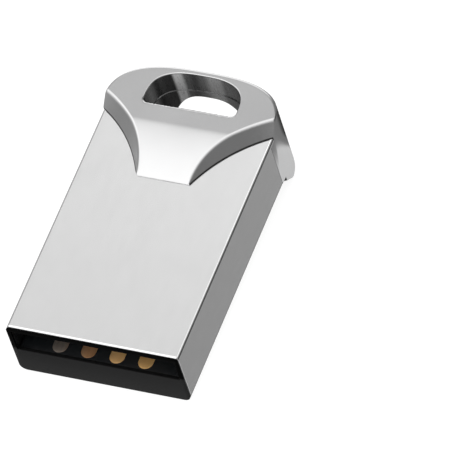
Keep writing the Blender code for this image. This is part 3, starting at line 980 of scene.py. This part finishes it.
def contact_gold():
    """Plated contacts, whose tint goes from dull on the left, which is painted shade, to warm on the right as
    in the photo.
    """
    nodes = Nodes("contact_gold_plate_painted_shade", 0.42, 0.6)
    wear = nodes.noise((5.0, 0.5, 5.0), 4.0, 0.65)
    slow = nodes.noise((0.5, 0.5, 0.5), 2.0)
    blend = nodes.math("ADD", nodes.math("MULTIPLY", wear, 0.5), nodes.math("MULTIPLY", slow, 0.5))
    # Painted shade: the left pads are darkened and dulled, easing into the plate's warm gold towards the
    # right
    across = nodes.along("X")
    share = nodes.remap(across, -2.8 * MM, -1.2 * MM, 0.0, 1.0)
    left = nodes.mix(share, (0.20, 0.17, 0.155), (0.44, 0.22, 0.10))
    share = nodes.remap(across, -0.6 * MM, 0.6 * MM, 0.0, 1.0)
    middle = nodes.mix(share, left, (0.97, 0.57, 0.22))
    share = nodes.remap(across, 1.4 * MM, 2.8 * MM, 0.0, 1.0)
    warm = nodes.mix(share, middle, (1.0, 0.58, 0.20))
    worn = nodes.mix(nodes.remap(blend, 0.35, 0.65, 0.0, 0.14), warm, (0.98, 0.80, 0.55))
    nodes.link(worn, nodes.shader.inputs["Base Color"])
    nodes.link(nodes.remap(wear, 0.3, 0.7, 0.36, 0.48), nodes.shader.inputs["Roughness"])
    nodes.bump(wear, 0.002)
    return nodes.material


SILICON = metal("silicon_ground", (0.15, 0.16, 0.20), (0.22, 0.23, 0.28), 0.2, (8.0, 8.0, 1.0), 0.001)
NICKEL = metal("crystal_can_nickel", (0.62, 0.60, 0.54), (0.78, 0.77, 0.72), 0.3, (6.0, 1.0, 6.0), 0.002)
MATERIALS = {
    "shell_steel": shell_steel(),
    "shell_inside_painted_shade": shell_inside_painted_shade(),
    "cap_zinc": cap_zinc(),
    "cap_bore": cap_bore(),
    # Painted shadow for the gap where the cap's tongues meet the shell
    "cap_seam": plastic("cap_seam_shadow", (0.012, 0.012, 0.012), (0.03, 0.03, 0.03), 0.7, 5.0, 0.004),
    "carrier_plastic": carrier_plastic(),
    "board_mask": plastic("board_black_mask", (0.004, 0.005, 0.006), (0.010, 0.011, 0.012), 0.34, 4.0, 0.003),
    "contact_gold": contact_gold(),
    "mold_epoxy": plastic("mold_epoxy_filled", (0.02, 0.02, 0.022), (0.045, 0.045, 0.048), 0.6, 12.0, 0.006),
    "silicon": SILICON.material,
    "attach_film": plastic("attach_film_resin", (0.66, 0.60, 0.44), (0.80, 0.76, 0.62), 0.6, 6.0, 0.003),
    "crystal_can": NICKEL.material,
    "chip_ceramic": plastic("chip_ceramic_fired", (0.44, 0.33, 0.21), (0.56, 0.44, 0.30), 0.5, 14.0, 0.004),
    "resistor_body": plastic("resistor_glaze", (0.03, 0.03, 0.036), (0.07, 0.07, 0.08), 0.38, 10.0, 0.003),
    "tape": plastic("tape_foam", (0.80, 0.79, 0.74), (0.90, 0.89, 0.86), 0.7, 10.0, 0.01),
    "adhesive": plastic("adhesive_cured", (0.55, 0.49, 0.34), (0.68, 0.62, 0.46), 0.35, 2.0, 0.01),
}

make_cap([MATERIALS["cap_zinc"], MATERIALS["cap_seam"], MATERIALS["cap_bore"]])
make_shell([MATERIALS["shell_steel"], MATERIALS["shell_inside_painted_shade"]])
softened("chip_carrier", "chip_carrier_moulded", 0.015, MATERIALS["carrier_plastic"])
softened("substrate_board", "substrate_board_routed", 0.015, MATERIALS["board_mask"])
for pad in ("contact_ground", "contact_data_plus", "contact_data_minus", "contact_vbus"):
    softened(pad, f"{pad}_plated", 0.03, MATERIALS["contact_gold"])

REPLACED = ("tail_cap", "outer_shell", "chip_carrier", "substrate_board")
for row in frame["record"]["subparts"]:
    if row["node"] not in REPLACED and not row["node"].startswith("contact_"):
        node = frame["nodes"][row["node"]]
        node.data.materials.clear()
        node.data.materials.append(MATERIALS[row["material_slot"]])


# ---------------------------------------------------------------------------------------------------- studio
REST_SLOPE = 0.0535
FLOOR_RADIUS = 0.45
BOWL_RADIUS = 0.22


def make_floor():
    """A pale floor that curves up into a wall, tilted because the drive lies on its mouth's lower edge."""
    profile = [(0.0, 0.0), (0.03, 0.0), (0.1, 0.0), (0.25, 0.0), (FLOOR_RADIUS, 0.0)]
    for i in range(1, 11):
        a = math.radians(90 * i / 10)
        profile.append((FLOOR_RADIUS + BOWL_RADIUS * math.sin(a), BOWL_RADIUS * (1 - math.cos(a))))
    profile.append((FLOOR_RADIUS + BOWL_RADIUS, 0.6))
    steps = 72
    bm = bmesh.new()
    rings = []
    for radius, height in profile[1:]:
        ring = []
        for i in range(steps):
            a = 2 * math.pi * i / steps
            ring.append(bm.verts.new((radius * math.cos(a), radius * math.sin(a), height)))
        rings.append(ring)
    for lower, upper in zip(rings, rings[1:]):
        for i in range(steps):
            j = (i + 1) % steps
            bm.faces.new((lower[i], lower[j], upper[j], upper[i]))
    bm.faces.new(rings[0])
    bmesh.ops.recalc_face_normals(bm, faces=bm.faces)
    mesh = bpy.data.meshes.new("studio_floor")
    bm.to_mesh(mesh)
    bm.free()
    mesh.shade_smooth()
    floor = bpy.data.objects.new("studio_floor", mesh)
    bpy.context.scene.collection.objects.link(floor)
    floor.location = (0.0, CARRIER_LOW.y, SHELL_LOW.z - 0.00002)
    floor.rotation_euler = (-math.atan(REST_SLOPE), 0.0, 0.0)
    material = bpy.data.materials.new("studio_paper")
    material.use_nodes = True
    shader = material.node_tree.nodes["Principled BSDF"]
    shader.inputs["Base Color"].default_value = (0.25, 0.25, 0.25, 1.0)
    shader.inputs["Roughness"].default_value = 0.9
    shader.inputs["Specular IOR Level"].default_value = 0.0
    shader.inputs["Emission Color"].default_value = (1.0, 1.0, 1.0, 1.0)
    shader.inputs["Emission Strength"].default_value = 0.86
    mesh.materials.append(material)
    floor.visible_glossy = False
    floor.visible_shadow = False
    return floor


def make_world():
    """Soft surroundings: a broad overhead light, smaller lights round it, one shade and a level by height."""
    world = bpy.data.worlds.new("studio")
    world.use_nodes = True
    bpy.context.scene.world = world
    tree = world.node_tree
    background = tree.nodes["Background"]
    direction = tree.nodes.new("ShaderNodeTexCoord").outputs["Generated"]

    def facing(target):
        made = tree.nodes.new("ShaderNodeVectorMath")
        made.operation = "DOT_PRODUCT"
        unit = Vector(target).normalized()
        made.inputs[1].default_value = unit
        tree.links.new(direction, made.inputs[0])
        return made.outputs["Value"]

    def curve(value, stops):
        """A smooth level from the angle to a light's middle: stops are (degrees, level)."""
        made = tree.nodes.new("ShaderNodeFloatCurve")
        line = made.mapping.curves[0]
        table = sorted((0.5 + 0.5 * math.cos(math.radians(angle)), level / 2.0) for angle, level in stops)
        line.points[0].location = table[0]
        line.points[1].location = table[-1]
        for spot in table[1:-1]:
            line.points.new(*spot)
        for point in line.points:
            point.handle_type = "AUTO_CLAMPED"
        made.mapping.update()
        scaled = tree.nodes.new("ShaderNodeMath")
        scaled.operation = "MULTIPLY_ADD"
        tree.links.new(value, scaled.inputs[0])
        scaled.inputs[1].default_value = 0.5
        scaled.inputs[2].default_value = 0.5
        tree.links.new(scaled.outputs[0], made.inputs["Value"])
        doubled = tree.nodes.new("ShaderNodeMath")
        doubled.operation = "MULTIPLY"
        tree.links.new(made.outputs["Value"], doubled.inputs[0])
        doubled.inputs[1].default_value = 2.0
        return doubled.outputs[0]

    def total(first, second, operation="ADD"):
        made = tree.nodes.new("ShaderNodeMath")
        made.operation = operation
        tree.links.new(first, made.inputs[0])
        tree.links.new(second, made.inputs[1])
        return made.outputs[0]

    level = curve(facing(OVERHEAD), OVERHEAD_LEVELS)
    for target, stops in LOBES:
        level = total(level, curve(facing(target), stops))
    level = total(level, curve(facing((0.0, 0.0, 1.0)), HEIGHT_LEVELS))
    for target, stops in SHADES:
        level = total(level, curve(facing(target), stops), "SUBTRACT")
    tree.links.new(level, background.inputs["Strength"])
    background.inputs["Color"].default_value = (1.0, 1.0, 1.0, 1.0)


def toward(azimuth, elevation):
    """A direction from degrees round from +X towards +Y and up from level."""
    a, e = math.radians(azimuth), math.radians(elevation)
    return (math.cos(a) * math.cos(e), math.sin(a) * math.cos(e), math.sin(e))


OVERHEAD = (-0.36, -0.18, 0.915)
OVERHEAD_LEVELS = [
    (0, 1.50),
    (12, 1.42),
    (22, 1.25),
    (30, 1.10),
    (34, 0.98),
    (38, 0.62),
    (41.5, 0.50),
    (45, 0.46),
    (50, 0.28),
    (56, 0.05),
    (61, 0.0),
    (180, 0.0),
]
HEIGHT_LEVELS = [(0, 0.24), (60, 0.24), (90, 0.26), (110, 0.26), (125, 0.09), (142, 0.05), (180, 0.04)]
LOBES = [
    (toward(50, 55), [(0, 1.1), (12, 0.9), (22, 0.12), (32, 0.0), (180, 0.0)]),
    (toward(112, 15), [(0, 1.1), (18, 0.95), (27, 0.15), (36, 0.0), (180, 0.0)]),
    (toward(118, -14), [(0, 0.9), (12, 0.8), (22, 0.1), (30, 0.0), (180, 0.0)]),
    (toward(163, -8), [(0, 0.44), (8, 0.38), (18, 0.15), (32, 0.08), (50, 0.0), (180, 0.0)]),
    (toward(168, 38), [(0, 0.5), (8, 0.4), (14, 0.05), (20, 0.0), (180, 0.0)]),
    (toward(54, -52), [(0, 0.205), (10, 0.2), (18, 0.05), (26, 0.0), (180, 0.0)]),
    (toward(24, -49), [(0, 0.75), (9, 0.65), (16, 0.1), (22, 0.0), (180, 0.0)]),
    (toward(-118, -50), [(0, 0.36), (30, 0.34), (45, 0.1), (60, 0.0), (180, 0.0)]),
]
SHADES = [(toward(33, -12), [(0, 0.22), (14, 0.2), (24, 0.04), (32, 0.0), (180, 0.0)])]


def make_light(name, target, distance, size, power):
    lamp = bpy.data.lights.new(name, "AREA")
    lamp.shape = "DISK"
    lamp.size = size
    lamp.energy = power
    thing = bpy.data.objects.new(name, lamp)
    way = Vector(target).normalized()
    thing.location = way * distance
    thing.rotation_euler = way.to_track_quat("Z", "Y").to_euler()
    thing.visible_camera = False
    thing.visible_glossy = False
    bpy.context.scene.collection.objects.link(thing)


def make_camera():
    """Seen from above the mouth's right-hand corner through a very long lens, turned in its own plane."""
    back = Vector(toward(CAMERA_AZIMUTH, CAMERA_ELEVATION))
    level = Vector((0.0, 0.0, 1.0)).cross(back).normalized()
    roll = math.radians(CAMERA_ROLL)
    right = level * math.cos(roll) + back.cross(level) * math.sin(roll)
    up = back.cross(right)
    aim = ORIGIN + Vector(CAMERA_AIM) * MM
    data = bpy.data.cameras.new("camera")
    data.lens = 600.0
    data.sensor_width = 36.0
    distance = CAMERA_WIDTH * MM * data.lens / data.sensor_width
    data.clip_start = 0.01
    data.clip_end = 5.0
    camera = bpy.data.objects.new("camera", data)
    turn = Matrix((right, up, back)).transposed().to_4x4()
    camera.matrix_world = Matrix.Translation(aim + back * distance) @ turn
    bpy.context.scene.collection.objects.link(camera)
    bpy.context.scene.camera = camera


make_floor()
make_world()
make_light("soft_key", (-0.45, 0.1, 0.9), 0.35, 0.2, 0.12)
make_camera()
bpy.context.scene.view_settings.view_transform = "Standard"
